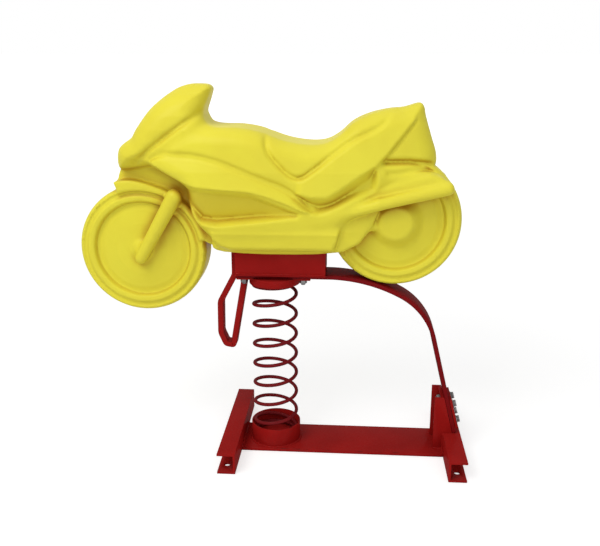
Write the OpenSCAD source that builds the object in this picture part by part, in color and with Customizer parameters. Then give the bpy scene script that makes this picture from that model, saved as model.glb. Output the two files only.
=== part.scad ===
// Spring rider: a moulded motorcycle on a coil spring and a bent leaf spring.
// X runs along the motorcycle with its front at -X, Z is up, and the origin is
// on the ground below the coil spring. All sizes are in millimetres.

/* [Base frame] */
// Length of each cross channel, across the motorcycle
channel_len = 350; // [320:5:400]
// Height of a cross channel
channel_h = 50; // [44:1:60]
// Width of a channel's flanges
channel_flange = 42; // [38:1:52]
// Thickness of a channel's web and flanges
channel_t = 5; // [4:0.5:7]
// Distance from the coil's axis to the front channel's web
front_web_x = 78; // [74:1:86]
// Distance from the leaf's foot back to the rear channel's web
foot_to_web = 27.2; // [25:0.2:30]
// Width of the spine plate that joins the channels
spine_w = 130; // [124:1:150]
// Thickness of the spine plate
spine_t = 8; // [6:0.5:10]
// Diameter of the ground anchor holes
anchor_d = 14; // [10:1:16]
// Distance of an anchor hole from the channel's end
anchor_edge = 35; // [28:1:50]

/* [Coil spring] */
// Outer diameter of the coil
coil_od = 110; // [100:1:114]
// Diameter of the coil's wire
wire_d = 8.5; // [7:0.5:10]
// Number of open turns between the two closed end turns
open_turns = 7.5; // [6:0.5:9]
// Gap between the closed end turn and the next one
end_turn_gap = 1; // [0.6:0.1:2]
// Wall of the two spring cups
cup_wall = 3; // [2:0.5:4]
// Floor of the two spring cups
cup_floor = 4; // [3:0.5:6]
// Depth of the lower cup
lower_cup_h = 46; // [36:1:56]
// Depth of the upper cup
upper_cup_h = 18; // [14:1:26]
// Width of the upper cup's flange
flange_w = 72; // [66:1:76]

/* [Leaf spring] */
// Height of the leaf's flat top run above the ground
leaf_z = 441; // [425:1:455]
// Width of the leaf
leaf_w = 76; // [70:1:84]
// Thickness of the leaf
leaf_t = 10; // [8:0.5:12]
// Where the flat run ends and the sweep begins
leaf_flat_x = 126; // [124:1:134]
// Centre radius of the long sweep
sweep_r = 361; // [350:1:372]
// Angle of the long sweep
sweep_deg = 28; // [27:0.5:29]
// Centre radius of the knee
knee_r = 160; // [152:1:164]
// Angle of the knee
knee_deg = 48; // [47:0.5:49]

/* [Leaf foot] */
// Height of the foot bracket above its channel
bracket_h = 95; // [88:1:110]
// Thickness of the bracket's back plate
bracket_back_t = 8; // [6:0.5:10]
// Thickness of the bracket's two cheeks
cheek_t = 6; // [5:0.5:8]
// How far the cheeks stand in front of the rear channel's web
cheek_reach = 23; // [18:1:30]
// Thickness of the outer clamp plate
clamp_t = 6; // [5:0.5:8]
// Distance between the clamp's bolts across the leaf
foot_bolt_y = 44; // [40:1:48]
// Distance between the clamp's bolts along the leaf
foot_bolt_z = 42; // [38:1:46]

/* [Platform] */
// Length of the platform box
platform_len = 207; // [200:1:216]
// Front end of the platform box, ahead of the coil's axis
platform_front = 86; // [84:1:94]
// Width of the platform box
platform_w = 110; // [104:1:120]
// Height of the platform box
platform_h = 58; // [52:1:66]
// Thickness of the platform's plates
platform_t = 5; // [4:0.5:6]
// Distance of the leaf bolts from the front end of the platform
leaf_bolt_edge = 17; // [16:0.5:19]
// Distance between the leaf bolts across the leaf
leaf_bolt_y = 50; // [48:1:52]
// Distance between the body bolts along the motorcycle
body_bolt_x = 150; // [130:1:160]
// Distance between the body bolts across the motorcycle
body_bolt_y = 56; // [50:1:64]

/* [Stop loop] */
// Width of the bent strip
loop_w = 30; // [24:1:32]
// Thickness of the bent strip
loop_t = 8; // [6:0.5:9]
// Depth of the loop below the leaf's top
loop_drop = 192; // [170:1:210]
// How far the loop's front bend stands ahead of the platform
loop_reach = 45; // [38:1:55]
// Distance between the loop's two bolts, one above the other
loop_bolt_pitch = 22; // [20:1:26]

/* [Fasteners] */
// Shank diameter of every bolt
bolt_d = 10; // [8:1:11]
// Clearance of a bolt in its hole, on the diameter
bolt_clear = 1; // [0.6:0.1:1.5]

/* [Motorcycle] */
// Outer radius of the wheels
wheel_r = 148; // [142:1:152]
// Width of the tyres
wheel_w = 96; // [88:1:104]
// Front axle ahead of the coil's axis
front_axle_x = 302; // [296:1:306]
// Front axle above the belly's flat underside
front_axle_z = -3; // [-8:1:4]
// Rear axle behind the coil's axis
rear_axle_x = 276; // [270:1:282]
// Rear axle above the belly's flat underside
rear_axle_z = 71; // [66:1:76]
// Wall of the two moulded half shells
shell_wall = 5; // [4:0.5:7]
// Widest half width of the fairing
body_half_w = 106; // [98:1:114]
// Length of the fairing, tank, seat and tail together
body_len = 712; // [690:1:730]
// Depth of the pressed lower panels in the fairing
panel_depth = 15; // [8:0.5:18]
// Depth of the pressed seat
seat_depth = 4; // [2:0.5:6]
// Rise of the band along the fairing
band_rise = 6; // [3:0.5:8]
// Half width of the steering head under the nose
head_half_w = 42; // [36:1:50]
// Height of the windscreen's tip above the belly
screen_top = 368; // [360:1:376]
// Depth of the sunk disc in each wheel's flank
disc_depth = 20; // [14:1:26]
// Thickness of the steel insert inside the belly
insert_t = 6; // [5:0.5:8]
// How far the steel insert reaches past its bolts
insert_edge = 15; // [12:1:18]
// Thickness of the belly's floor under the insert
floor_t = 14; // [10:1:18]

/* [Hidden] */
$fn = 48;

red = [0.60, 0.10, 0.10];
yellow = [0.93, 0.85, 0.16];
zinc = [0.66, 0.67, 0.70];

// Clearance between pieces that move apart
seat_gap = 0.3;
eps = 0.01;
big = 2000;

leaf_mid_z = leaf_z - leaf_t / 2;
leaf_under = leaf_z - leaf_t;
platform_z = leaf_z + seat_gap;
belly_z = platform_z + platform_h;
platform_mid_x = platform_len / 2 - platform_front;
upper_seat_z = leaf_under - seat_gap - cup_floor;
lower_seat_z = spine_t + cup_floor;
cup_clear = 2;
cup_od = coil_od + 2 * (cup_clear + cup_wall);

flange_len = 2 * platform_front;
leaf_bolt_x = platform_front - leaf_bolt_edge;
anchor_pitch = channel_len - 2 * anchor_edge;
insert_len = body_bolt_x + 2 * insert_edge;
insert_w = body_bolt_y + 2 * insert_edge;

// Leaf spring
leaf_start_x = -platform_front;
lean = 90 - sweep_deg - knee_deg;
sweep_end = [leaf_flat_x + sweep_r * sin(sweep_deg), leaf_mid_z - sweep_r * (1 - cos(sweep_deg))];
knee_c = [sweep_end[0] - knee_r * sin(sweep_deg), sweep_end[1] - knee_r * cos(sweep_deg)];
knee_end = [knee_c[0] + knee_r * cos(lean), knee_c[1] + knee_r * sin(lean)];
foot_z = channel_h + leaf_t / 2 * sin(lean) + 1;
foot_x = knee_end[0] + (knee_end[1] - foot_z) * tan(lean);
rear_web_x = foot_x - foot_to_web;
// Unit step along the leaf and across it, at an angle below level
function across(a) = [sin(a), cos(a)];
arc_step = 4;
sweep_pts = [for (a = [0 : arc_step : sweep_deg])
  [[leaf_flat_x + sweep_r * sin(a), leaf_mid_z - sweep_r * (1 - cos(a))], a]];
knee_pts = [for (a = [sweep_deg : arc_step : sweep_deg + knee_deg])
  [[knee_c[0] + knee_r * sin(a), knee_c[1] + knee_r * cos(a)], a]];
leaf_line = concat([[[leaf_start_x, leaf_mid_z], 0]], sweep_pts, knee_pts,
  [[knee_end, 90 - lean], [[foot_x, foot_z], 90 - lean]]);

// Fasteners
hole_d = bolt_d + bolt_clear;
washer_t = 2;
washer_d = 2 * bolt_d;
head_h = 0.64 * bolt_d;
head_d = 1.8 * bolt_d;
nut_h = 0.8 * bolt_d;
thread_past_nut = 4;

// Stack at the leaf's foot, measured out of the leaf's middle
clamp_face = leaf_t / 2 + seat_gap + clamp_t;
back_face = leaf_t / 2 + seat_gap + bracket_back_t;

// Stop loop: a tab on the platform's front end, two legs and a round foot
loop_face_x = -platform_front - loop_t / 2;
loop_bolt_z = platform_z + platform_h / 2;
loop_top_z = platform_z + platform_h - 2;
loop_low_z = leaf_z - loop_drop + loop_t / 2;
// Share of the drop at which the front leg bends back
loop_bend = 0.62;
// The rear leg ends under the cup's flange, clear of the cup
loop_end_x = -cup_od / 2 - loop_t;
loop_foot_x = loop_face_x - 2 * loop_t;
loop_line = [[loop_face_x, loop_top_z], [loop_face_x, leaf_z],
  [loop_face_x - loop_reach + loop_t / 2, leaf_z - loop_bend * loop_drop],
  [loop_foot_x - loop_t, loop_low_z], [loop_foot_x + 1.5 * loop_t, loop_low_z],
  [loop_end_x, upper_seat_z + loop_t]];

// Coil spring
coil_r = (coil_od - wire_d) / 2;
rings_per_turn = 8;
wire_sides = 6;
end_pitch = wire_d + end_turn_gap;
coil_z0 = lower_seat_z + seat_gap;
coil_z1 = upper_seat_z - seat_gap;
first_z = coil_z0 + wire_d;
last_z = coil_z1 - wire_d;
open_pitch = (last_z - first_z - 2 * end_pitch) / open_turns;
coil_turns = open_turns + 2;
function coil_rise(t) = t < 1 ? t * end_pitch
  : t > open_turns + 1 ? end_pitch + open_turns * open_pitch + (t - open_turns - 1) * end_pitch
  : end_pitch + (t - 1) * open_pitch;
function coil_point(t) = [coil_r * cos(360 * t), coil_r * sin(360 * t), first_z + coil_rise(t)];
coil_steps = round(coil_turns * rings_per_turn);
coil_curve = [for (i = [0 : coil_steps]) coil_point(i / rings_per_turn)];
coil_path = concat([[coil_curve[0][0], coil_curve[0][1], coil_z0]], coil_curve,
  [[coil_curve[coil_steps][0], coil_curve[coil_steps][1], coil_z1]]);
// Least distance between wires that lie a turn apart, less the wire itself
coil_gap = min([for (i = [0 : coil_steps - rings_per_turn])
  norm(coil_curve[i + rings_per_turn] - coil_curve[i])]) - wire_d;
echo(coil_gap = coil_gap, open_pitch = open_pitch);

// Smooth curve through the rows of a table: column c at place x
function row_at(t, x, i = 0) = (i >= len(t) - 2 || x < t[i + 1][0]) ? i : row_at(t, x, i + 1);
function rise(t, i, c) = let (a = max(i - 1, 0), b = min(i + 1, len(t) - 1))
  (t[b][c] - t[a][c]) / (t[b][0] - t[a][0]);
function smooth_at(t, x, c) = let (
    i = row_at(t, x), h = t[i + 1][0] - t[i][0], s = (x - t[i][0]) / h)
  (2 * pow(s, 3) - 3 * pow(s, 2) + 1) * t[i][c] + (pow(s, 3) - 2 * pow(s, 2) + s) * h * rise(t, i, c)
  + (3 * pow(s, 2) - 2 * pow(s, 3)) * t[i + 1][c] + (pow(s, 3) - pow(s, 2)) * h * rise(t, i + 1, c);

// Fairing, tank, seat and tail: place along X, underside, top, share of the half width
body_rows = [
  [-350, 166, 214, 0.34], [-330, 146, 246, 0.56], [-300, 128, 262, 0.74], [-255, 112, 268, 0.87],
  [-210, 78, 270, 0.95], [-165, 36, 274, 0.98], [-110, 0, 278, 1.00], [-30, 0, 270, 1.00],
  [30, 0, 251, 0.97], [95, 0, 243, 0.95], [140, 3, 253, 0.92], [162, 40, 273, 0.90],
  [192, 92, 298, 0.85], [235, 128, 313, 0.77], [280, 150, 320, 0.67], [322, 172, 328, 0.54],
  [348, 180, 304, 0.42], [362, 196, 244, 0.32]];
// Windscreen: height as a share of its top, front edge, rear edge, half width
screen_rows = [
  [0.57, -344, -112, 84], [0.66, -324, -114, 88], [0.74, -299, -122, 88], [0.82, -277, -149, 82],
  [0.88, -257, -153, 74], [0.94, -229, -144, 62], [0.98, -204, -136, 50], [1.00, -172, -134, 38]];
// The tables and outlines of the body are drawn for this length
drawn_len = 712;
body_unit = body_len / drawn_len;
body_steps = 36;
body_sides = 28;
screen_steps = 9;
screen_sides = 16;
core_steps = 14;
// Wall behind the pressed panels, up to the hollow core
core_inset = shell_wall + panel_depth + 3;
// Room round and above the insert
insert_clear = 1;
insert_room = 44;
body_power = 4;
screen_power = 2.6;
// Narrowing of the body towards its underside
belly_taper = 0.14;
function bent(v, n) = sign(v) * pow(abs(v), 2 / n);
function body_ring(x, inset) = let (
    lo = body_unit * max(0, smooth_at(body_rows, x, 1)) + inset,
    hi = body_unit * smooth_at(body_rows, x, 2) - inset,
    w = body_half_w * smooth_at(body_rows, x, 3) - inset)
  [for (k = [0 : body_sides - 1]) let (a = 360 * k / body_sides, s = bent(sin(a), body_power))
    [body_unit * x, w * bent(cos(a), body_power) * (1 - belly_taper * pow((1 - s) / 2, 2)),
     (lo + hi) / 2 + s * (hi - lo) / 2]];
function screen_ring(f, inset) = let (
    x0 = body_unit * smooth_at(screen_rows, f, 1) + 1.4 * inset,
    x1 = body_unit * smooth_at(screen_rows, f, 2) - 1.4 * inset,
    w = body_unit * smooth_at(screen_rows, f, 3) - inset)
  [for (k = [0 : screen_sides - 1]) let (a = 360 * k / screen_sides)
    [(x0 + x1) / 2 + bent(cos(a), screen_power) * (x1 - x0) / 2, w * bent(sin(a), screen_power),
     screen_top * f]];

// Outlines on the flanks, as places along X and heights above the belly
seat_line = [[-14, 300], [-11, 262], [-2, 226], [36, 185], [63, 174], [90, 188], [130, 219], [176, 252],
  [246, 292], [246, 330]];
band_line = [[-266, 206], [-235, 226], [-208, 215], [-166, 220], [-115, 206], [-64, 187], [-12, 167],
  [39, 146], [88, 102], [73, 100], [22, 122], [-40, 141], [-117, 147], [-190, 158], [-258, 196]];
lower_line = [[-200, 156], [-118, 146], [-41, 140], [73, 98], [60, 84], [-32, 74], [-120, 64], [-190, 60]];
hollow_line = [[58, 138], [90, 129], [125, 129], [160, 150], [200, 178], [229, 195], [229, 147], [180, 124],
  [117, 96], [92, 100]];
nose_line = [[-370, 60], [-370, 176], [-336, 182], [-284, 194], [-240, 180], [-194, 152], [-186, 108],
  [-162, 66], [-150, 20]];
lamp_line = [[250, 212], [312, 290], [372, 260], [372, 203]];

// A closed skin over a row of rings with equal counts of points
module loft(rings) {
  n = len(rings[0]);
  last = (len(rings) - 1) * n;
  sides = [for (i = [0 : len(rings) - 2], j = [0 : n - 1], h = [0, 1])
    let (a = i * n + j, b = i * n + (j + 1) % n)
    h == 0 ? [a, b + n, b] : [a, a + n, b + n]];
  ends = [[for (j = [0 : n - 1]) j], [for (j = [n - 1 : -1 : 0]) last + j]];
  polyhedron(points = [for (r = rings) each r], faces = concat(ends, sides));
}

// A round tube of a few sides along a path, with square ends
function unit(v) = v / norm(v);
module wire_tube(path, d, sides) {
  last = len(path) - 1;
  function dir(i) = i == 0 ? unit(path[1] - path[0])
    : i == last ? unit(path[last] - path[last - 1])
    : unit(unit(path[i] - path[i - 1]) + unit(path[i + 1] - path[i]));
  function out(i) = unit([path[i][0], path[i][1], 0]);
  loft([for (i = [0 : last]) let (u = dir(i), v = unit(out(i) - (out(i) * u) * u), w = cross(u, v))
    [for (k = [0 : sides - 1]) path[i] + d / 2 * (cos(360 * k / sides) * v + sin(360 * k / sides) * w)]]);
}

// Rounds each inner corner of a line of points with a short curve
bend_steps = 4;
function curve(a, b, c) = [for (i = [0 : bend_steps]) let (t = i / bend_steps)
  (1 - t) * (1 - t) * a + 2 * t * (1 - t) * b + t * t * c];
function rounded(p, cut) = let (last = len(p) - 1)
  concat([p[0]], [for (i = [1 : last - 1]) each
    curve(p[i] + cut * unit(p[i - 1] - p[i]), p[i], p[i] + cut * unit(p[i + 1] - p[i]))], [p[last]]);

// A flat strip's side outline, with mitred corners along a line of points
module strip_outline(p, t) {
  last = len(p) - 1;
  function side(v) = [-v[1], v[0]];
  function mitre(i) = let (
      u = side(unit(p[max(i, 1)] - p[max(i - 1, 0)])),
      v = side(unit(p[min(i + 1, last)] - p[min(i, last - 1)])))
    (u + v) / (1 + u * v);
  polygon(concat([for (i = [0 : last]) p[i] + t / 2 * mitre(i)],
    [for (i = [last : -1 : 0]) p[i] - t / 2 * mitre(i)]));
}

// Turns a side outline in X and Z into a plate of width w about the middle
module side_plate(w) {
  rotate([90, 0, 0])
    linear_extrude(w, center = true)
      children();
}

// Places children at the leaf's foot: Z up along the leaf, X out of its outer face
module at_foot() {
  translate([foot_x, 0, foot_z])
    rotate([0, -lean, 0])
      children();
}

module foot_places() {
  for (y = [-1, 1], k = [0, 1])
    translate([0, y * foot_bolt_y / 2, bracket_h / 2 + (k - 0.5) * foot_bolt_z])
      children();
}

module leaf_places() {
  for (x = [-1, 1], y = [-1, 1])
    translate([x * leaf_bolt_x, y * leaf_bolt_y / 2, 0])
      children();
}

module body_places() {
  for (x = [-1, 1], y = [-1, 1])
    translate([platform_mid_x + x * body_bolt_x / 2, y * body_bolt_y / 2, belly_z])
      children();
}

// Hexagon bolt with the underside of its head at Z = 0, shank downwards
module hex_bolt(shank) {
  cylinder(d = head_d, h = head_h, $fn = 6);
  translate([0, 0, -shank])
    cylinder(d = bolt_d, h = shank + eps);
}

module ring_washer() {
  difference() {
    cylinder(d = washer_d, h = washer_t);
    translate([0, 0, -1])
      cylinder(d = hole_d, h = washer_t + 2);
  }
}

module hex_nut() {
  difference() {
    cylinder(d = head_d, h = nut_h, $fn = 6);
    translate([0, 0, -1])
      cylinder(d = bolt_d + 0.2, h = nut_h + 2);
  }
}

// Cross channel with its web at X = 0 and its flanges towards +X
module cross_channel() {
  difference() {
    translate([0, -channel_len / 2, 0])
      cube([channel_flange, channel_len, channel_h]);
    translate([channel_t, -channel_len / 2 - 1, channel_t])
      cube([channel_flange, channel_len + 2, channel_h - 2 * channel_t]);
    for (y = [-1, 1])
      translate([(channel_flange + channel_t) / 2, y * anchor_pitch / 2, -1])
        cylinder(d = anchor_d, h = channel_t + 2);
  }
}

module front_cross_channel() {
  color(red)
    translate([-front_web_x, 0, 0])
      mirror([1, 0, 0])
        cross_channel();
}

module rear_cross_channel() {
  color(red)
    translate([rear_web_x, 0, 0])
      cross_channel();
}

module spine_plate() {
  color(red)
    translate([-front_web_x, -spine_w / 2, 0])
      cube([front_web_x + rear_web_x, spine_w, spine_t]);
}

// Round cup with its floor at Z = 0, open upwards
module spring_cup(depth) {
  difference() {
    cylinder(d = cup_od, h = depth, $fn = 72);
    translate([0, 0, cup_floor])
      cylinder(d = cup_od - 2 * cup_wall, h = depth, $fn = 72);
  }
}

module lower_spring_cup() {
  color(red)
    translate([0, 0, spine_t])
      spring_cup(lower_cup_h);
}

module upper_spring_cup() {
  color(red)
    difference() {
      union() {
        translate([0, 0, leaf_under - seat_gap])
          mirror([0, 0, 1])
            spring_cup(upper_cup_h);
        translate([-flange_len / 2, -flange_w / 2, upper_seat_z])
          cube([flange_len, flange_w, cup_floor]);
      }
      leaf_places()
        translate([0, 0, upper_seat_z - 1])
          cylinder(d = hole_d, h = cup_floor + 2);
    }
}

module coil_spring() {
  color(red)
    wire_tube(coil_path, wire_d, wire_sides);
}

module leaf_spring() {
  top = [for (p = leaf_line) p[0] + leaf_t / 2 * across(p[1])];
  under = [for (i = [len(leaf_line) - 1 : -1 : 0]) let (p = leaf_line[i])
    p[0] - leaf_t / 2 * across(p[1])];
  color(red)
    difference() {
      side_plate(leaf_w)
        polygon(concat(top, under));
      leaf_places()
        translate([0, 0, leaf_under - 1])
          cylinder(d = hole_d, h = leaf_t + 2);
      at_foot()
        foot_places()
          rotate([0, 90, 0])
            cylinder(d = hole_d, h = 3 * leaf_t, center = true);
    }
}

// Back plate along the leaf's inner face, with a cheek on each side of it
module leaf_foot_bracket() {
  top_z = channel_h + bracket_h * cos(lean);
  inner_x = rear_web_x - cheek_reach;
  // X of the back plate's two faces at a height
  function outer_x(z) = foot_x + (foot_z - z) * tan(lean) - (leaf_t / 2 + seat_gap) / cos(lean);
  function inner_face_x(z) = outer_x(z) - bracket_back_t / cos(lean);
  color(red)
    difference() {
      side_plate(leaf_w)
        polygon([[inner_x, spine_t], [rear_web_x, spine_t], [rear_web_x, channel_h],
          [outer_x(channel_h), channel_h], [outer_x(top_z), top_z], [inner_x, top_z]]);
      side_plate(leaf_w - 2 * cheek_t)
        polygon([[inner_x - 1, spine_t - 1], [inner_face_x(spine_t - 1), spine_t - 1],
          [inner_face_x(top_z + 1), top_z + 1], [inner_x - 1, top_z + 1]]);
      at_foot()
        foot_places()
          rotate([0, 90, 0])
            cylinder(d = hole_d, h = 4 * (leaf_t + bracket_back_t), center = true);
    }
}

module leaf_foot_clamp() {
  edge = (leaf_w - foot_bolt_y) / 2;
  color(red)
    at_foot()
      difference() {
        translate([leaf_t / 2 + seat_gap, -leaf_w / 2, (bracket_h - foot_bolt_z) / 2 - edge])
          cube([clamp_t, leaf_w, foot_bolt_z + 2 * edge]);
        foot_places()
          rotate([0, 90, 0])
            cylinder(d = hole_d, h = 4 * (leaf_t + clamp_t), center = true);
      }
}

module leaf_foot_bolts() {
  color(zinc)
    at_foot()
      foot_places()
        translate([clamp_face + washer_t, 0, 0])
          rotate([0, 90, 0])
            hex_bolt(washer_t + clamp_face + back_face + nut_h + thread_past_nut);
}

module leaf_foot_washers() {
  color(zinc)
    at_foot()
      foot_places()
        translate([clamp_face, 0, 0])
          rotate([0, 90, 0])
            ring_washer();
}

module leaf_foot_nuts() {
  color(zinc)
    at_foot()
      foot_places()
        translate([-back_face, 0, 0])
          rotate([0, -90, 0])
            hex_nut();
}

// Inverted channel: top and two long walls, standing on the base plate
module platform_channel() {
  wall_z = platform_z + platform_t;
  color(red)
    difference() {
      translate([-platform_front, -platform_w / 2, wall_z])
        cube([platform_len, platform_w, platform_h - platform_t]);
      translate([-platform_front - 1, -platform_w / 2 + platform_t, wall_z - 1])
        cube([platform_len + 2, platform_w - 2 * platform_t, platform_h - 2 * platform_t + 1]);
      body_places()
        translate([0, 0, -platform_t - 1])
          cylinder(d = hole_d, h = platform_t + 2);
    }
}

module platform_base_plate() {
  color(red)
    difference() {
      translate([-platform_front, -platform_w / 2, platform_z])
        cube([platform_len, platform_w, platform_t]);
      leaf_places()
        translate([0, 0, platform_z - 1])
          cylinder(d = hole_d, h = platform_t + 2);
    }
}

// End wall that fills the channel's mouth
module platform_end(x) {
  translate([x, -platform_w / 2 + platform_t, platform_z + platform_t])
    cube([platform_t, platform_w - 2 * platform_t, platform_h - 2 * platform_t]);
}

module platform_front_end() {
  color(red)
    difference() {
      platform_end(-platform_front);
      loop_places()
        rotate([0, 90, 0])
          cylinder(d = hole_d, h = 4 * platform_t, center = true);
    }
}

module platform_rear_end() {
  color(red)
    platform_end(platform_len - platform_front - platform_t);
}

module leaf_bolts() {
  color(zinc)
    leaf_places()
      translate([0, 0, platform_z + platform_t + washer_t])
        hex_bolt(washer_t + platform_t + leaf_t + 2 * seat_gap + cup_floor + nut_h + thread_past_nut);
}

module leaf_washers() {
  color(zinc)
    leaf_places()
      translate([0, 0, platform_z + platform_t])
        ring_washer();
}

module leaf_nuts() {
  color(zinc)
    leaf_places()
      translate([0, 0, upper_seat_z - nut_h])
        hex_nut();
}

module loop_places() {
  for (k = [-1, 1])
    translate([-platform_front, 0, loop_bolt_z + k * loop_bolt_pitch / 2])
      children();
}

module stop_loop() {
  color(red)
    difference() {
      side_plate(loop_w)
        strip_outline(rounded(loop_line, loop_t), loop_t);
      // The rear leg is cut level under the flange
      translate([1 - platform_front, -loop_w, upper_seat_z])
        cube([platform_front, 2 * loop_w, 4 * loop_t]);
      loop_places()
        rotate([0, 90, 0])
          cylinder(d = hole_d, h = 4 * loop_t, center = true);
    }
}

module stop_loop_bolts() {
  color(zinc)
    loop_places()
      translate([-loop_t, 0, 0])
        rotate([0, -90, 0])
          hex_bolt(loop_t + platform_t + nut_h + thread_past_nut);
}

module stop_loop_nuts() {
  color(zinc)
    loop_places()
      translate([platform_t, 0, 0])
        rotate([0, 90, 0])
          hex_nut();
}

module body_bolts() {
  color(zinc)
    body_places()
      translate([0, 0, -platform_t])
        mirror([0, 0, 1])
          hex_bolt(platform_t + floor_t + seat_gap + insert_t + washer_t + nut_h + thread_past_nut);
}

module body_washers() {
  color(zinc)
    body_places()
      translate([0, 0, floor_t + seat_gap + insert_t])
        ring_washer();
}

module body_nuts() {
  color(zinc)
    body_places()
      translate([0, 0, floor_t + seat_gap + insert_t + washer_t])
        hex_nut();
}

module body_insert() {
  color(zinc)
    difference() {
      translate([platform_mid_x, 0, belly_z + floor_t + seat_gap + insert_t / 2])
        cube([insert_len, insert_w, insert_t], center = true);
      body_places()
        translate([0, 0, floor_t])
          cylinder(d = hole_d, h = insert_t + 2);
    }
}

// Moulded motorcycle, in its own height above the belly

// Wheel about its axle: round tyre, rim step, sunk disc and hub
module moulded_wheel(hub_r) {
  half = wheel_w / 2;
  shoulder = 0.24 * wheel_r;
  rim_r = 0.68 * wheel_r;
  disc_r = 0.62 * wheel_r;
  disc_y = half - disc_depth;
  hub_y = disc_y + 12;
  rim_y = half - 10;
  bead = 4;
  rotate([90, 0, 0])
    rotate_extrude($fn = 40)
      for (m = [0, 1])
        mirror([0, m])
          polygon(concat([[0, -eps], [0, hub_y], [hub_r - bead, hub_y], [hub_r, disc_y],
            [disc_r, disc_y], [disc_r + bead, rim_y], [rim_r, rim_y], [rim_r + bead, half - bead]],
            [for (a = [90 : -30 : 0]) [wheel_r - shoulder + shoulder * cos(a),
              (half - bead) * sin(a) + bead * sin(2 * a)]],
            [[wheel_r, -eps]]));
}

// A rod with round ends between two points
module round_rod(a, b, ra, rb) {
  hull() {
    translate(a)
      sphere(r = ra, $fn = 12);
    translate(b)
      sphere(r = rb, $fn = 12);
  }
}

// A raised panel with softened edges: a convex outline and a share of the half width
module raised_panel(outline, share, soft) {
  half = share * body_half_w;
  hull() {
    side_plate(2 * (half - soft))
      polygon(body_unit * outline);
    side_plate(2 * half)
      offset(delta = -soft)
        polygon(body_unit * outline);
  }
}

// What lies within an outline on the flanks, right through the body
module flank_prism(outline) {
  side_plate(4 * body_half_w)
    polygon(body_unit * outline);
}

// Fairing, tank, seat and tail, drawn in by an inset
module trunk(inset) {
  x0 = body_rows[0][0];
  x1 = body_rows[len(body_rows) - 1][0];
  loft([for (i = [0 : body_steps]) body_ring(x0 + (x1 - x0) * i / body_steps, inset)]);
}

// What a pressed panel takes off the trunk
module pressed(outline, depth) {
  difference() {
    flank_prism(outline);
    trunk(depth);
  }
}

module front_fender() {
  guard_r = wheel_r + 15;
  guard_t = 18;
  guard_w = wheel_w + 12;
  translate([-front_axle_x, 0, front_axle_z])
    rotate([90, 0, 0])
      rotate([0, 0, 10])
        rotate_extrude(angle = 106, $fn = 40)
          translate([guard_r - guard_t, -guard_w / 2])
            square([guard_t, guard_w]);
}

module motorcycle_form() {
  front = [-front_axle_x, 0, front_axle_z];
  difference() {
    trunk(0);
    pressed(seat_line, seat_depth);
    pressed(lower_line, panel_depth);
    pressed(hollow_line, panel_depth);
    pressed(lamp_line, seat_depth);
    // Beside the steering head the flanks stand open under the nose
    difference() {
      flank_prism(nose_line);
      side_plate(2 * head_half_w)
        polygon(body_unit * nose_line);
    }
  }
  intersection() {
    trunk(-band_rise);
    flank_prism(band_line);
  }
  loft([for (i = [0 : screen_steps])
    let (f0 = screen_rows[0][0])
    screen_ring(f0 + (1 - f0) * i / screen_steps, 0)]);
  translate(front)
    moulded_wheel(16);
  translate([rear_axle_x, 0, rear_axle_z])
    moulded_wheel(46);
  front_fender();
  // Belly pan, foot guard and rear fender
  raised_panel([[-131, 50], [-126, 68], [140, 92], [152, 60], [142, 0], [-92, 0], [-130, 30]], 0.88, 9);
  raised_panel([[100, 62], [240, 98], [226, 66], [196, 24], [160, 6], [120, 2]], 0.71, 7);
  raised_panel([[220, 190], [350, 186], [372, 166], [340, 150], [232, 120]], 0.55, 7);
  // Fork legs, exhaust pipes and swing arm on both sides
  for (m = [0, 1])
    mirror([0, m, 0]) {
      round_rod(front + [-1, -50, -17], front + [86, -63, 132], 13, 14);
      round_rod(body_unit * [100, -78, 76], body_unit * [238, -80, 117], 12, 13);
      round_rod(body_unit * [238, -80, 117], body_unit * [384, -72, 151], 13, 14);
      round_rod(body_unit * [170, -58, 52], [rear_axle_x - 2, 1 - wheel_w / 2, rear_axle_z], 13, 12);
    }
}

// Hollow core of the shells, behind their walls and pressed panels
module motorcycle_core() {
  x0 = nose_line[len(nose_line) - 1][0] + shell_wall;
  x1 = body_rows[len(body_rows) - 1][0] - 2 * core_inset;
  f0 = screen_rows[1][0];
  f1 = screen_rows[len(screen_rows) - 4][0];
  wheel_core = wheel_w - 2 * (disc_depth + shell_wall);
  pocket = [insert_len + 2 * insert_clear, insert_w + 2 * insert_clear, insert_room];
  loft([for (i = [0 : core_steps]) body_ring(x0 + (x1 - x0) * i / core_steps, core_inset)]);
  loft([for (i = [0 : 4]) screen_ring(f0 + (f1 - f0) * i / 4, core_inset)]);
  // Level pocket for the insert with its washers and nuts
  translate([platform_mid_x, 0, floor_t + insert_room / 2])
    cube(pocket, center = true);
  for (w = [[-front_axle_x, front_axle_z], [rear_axle_x, rear_axle_z]])
    translate([w[0], 0, w[1]])
      rotate([90, 0, 0])
        cylinder(r = 0.6 * wheel_r, h = wheel_core, center = true, $fn = 32);
}

// One half of the moulded body: side -1 is the left half, 1 the right half
module half_shell(side) {
  seam = seat_gap / 2;
  color(yellow)
    intersection() {
      translate([-big / 2, side < 0 ? -big - seam : seam, 0])
        cube([big, big, big]);
      difference() {
        translate([0, 0, belly_z])
          difference() {
            motorcycle_form();
            motorcycle_core();
          }
        body_places()
          translate([0, 0, -1])
            cylinder(d = hole_d, h = floor_t + 2, $fn = 16);
      }
    }
}

module shell_left() {
  half_shell(-1);
}

module shell_right() {
  half_shell(1);
}

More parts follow.
